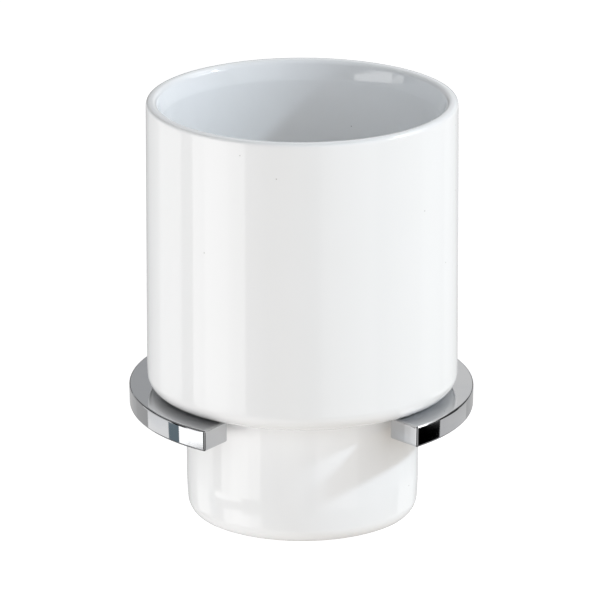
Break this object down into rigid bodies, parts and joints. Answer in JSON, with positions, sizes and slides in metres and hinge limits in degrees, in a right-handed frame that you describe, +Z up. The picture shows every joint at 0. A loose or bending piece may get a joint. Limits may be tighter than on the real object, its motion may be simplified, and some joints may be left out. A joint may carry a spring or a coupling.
{
  "type": "toothbrush holder",
  "caption": "Wall-held toothbrush holder: a stepped white ceramic tumbler hangs by its shoulder in an open chrome ring on a round wall cover.",
  "frame": {"origin": "middle of the wall disc, on the wall face", "axes": "+Y into the wall, so the room is towards -Y; +Z up, along the axis of the tumbler; +X to the right as seen from the room"},
  "size_m": [0.0834, 0.134, 0.1037],
  "materials": {
    "white_glaze": "gloss",
    "polished_chrome": "polished",
    "plain_steel": "satin",
    "screw_steel": "satin",
    "grey_nylon": "matte"
  },
  "bodies": {
    "wall_holder": {"holder_ring": "polished_chrome", "wall_cover": "polished_chrome", "wall_disc": "plain_steel", "ring_screw_left": "screw_steel", "ring_screw_right": "screw_steel", "wall_screw_left": "screw_steel", "wall_screw_right": "screw_steel", "wall_plug_left": "grey_nylon", "wall_plug_right": "grey_nylon"},
    "cup": {"tumbler": "white_glaze"},
    "lock_screw": {"set_screw": "screw_steel"}
  },
  "joints": [
    {"name": "tumbler_lift", "type": "slide", "parent": "wall_holder", "child": "cup", "axis": [0, 0, 1], "range_m": [0, 0.04]},
    {"name": "set_screw_turn", "type": "hinge", "parent": "wall_holder", "child": "lock_screw", "pos_m": [0, -0.0035, -0.0202], "axis": [0, 0, 1], "range_deg": [-990, 0]}
  ]
}
